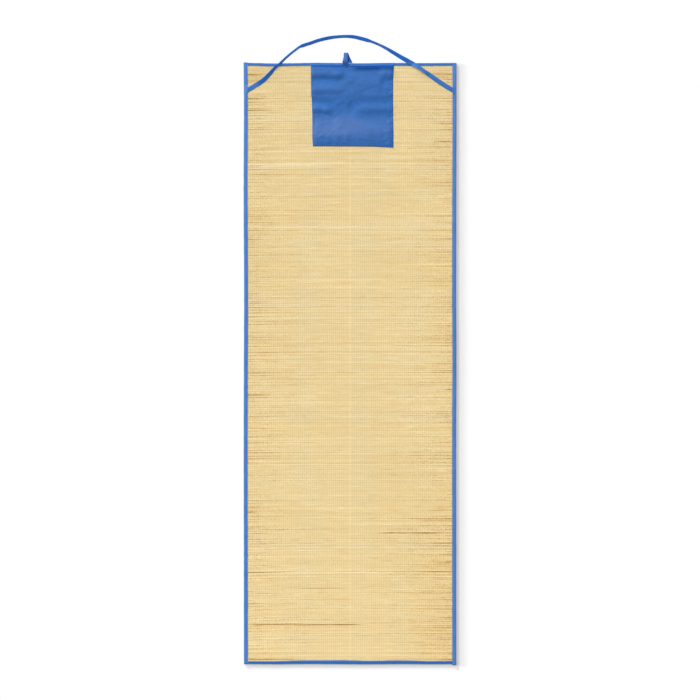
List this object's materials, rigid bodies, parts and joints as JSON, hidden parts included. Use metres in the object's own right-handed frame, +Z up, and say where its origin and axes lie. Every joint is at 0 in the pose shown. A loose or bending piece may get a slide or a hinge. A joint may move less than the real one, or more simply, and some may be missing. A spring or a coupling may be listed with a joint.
{
  "type": "straw beach mat",
  "caption": "Long flat straw mat for the beach, with cloth tape folded over its edges, a square cloth patch at its head, a thin carry strap and a hanging loop.",
  "frame": {"origin": "on the floor, under the middle of the box that holds the mat and its strap", "axes": "+X to the mat's right, +Y along its length to the end with the patch and the strap, +Z up from the floor"},
  "size_m": [0.6014, 1.7802, 0.0179],
  "materials": {
    "straw": "woven natural straw with fine warp threads, satin",
    "tape": "blue cotton tape, matt",
    "patch_cloth": "blue plain-weave cloth, matt with a faint sheen",
    "strap_tape": "blue woven tape, matt with a faint sheen",
    "loop_tape": "blue woven tape, matt with a faint sheen"
  },
  "bodies": {
    "root": {"straw_panel": "straw", "binding_left": "tape", "binding_right": "tape", "binding_top": "tape", "binding_bottom": "tape", "patch": "patch_cloth", "carry_strap": "strap_tape", "hanging_loop": "loop_tape"}
  },
  "joints": []
}
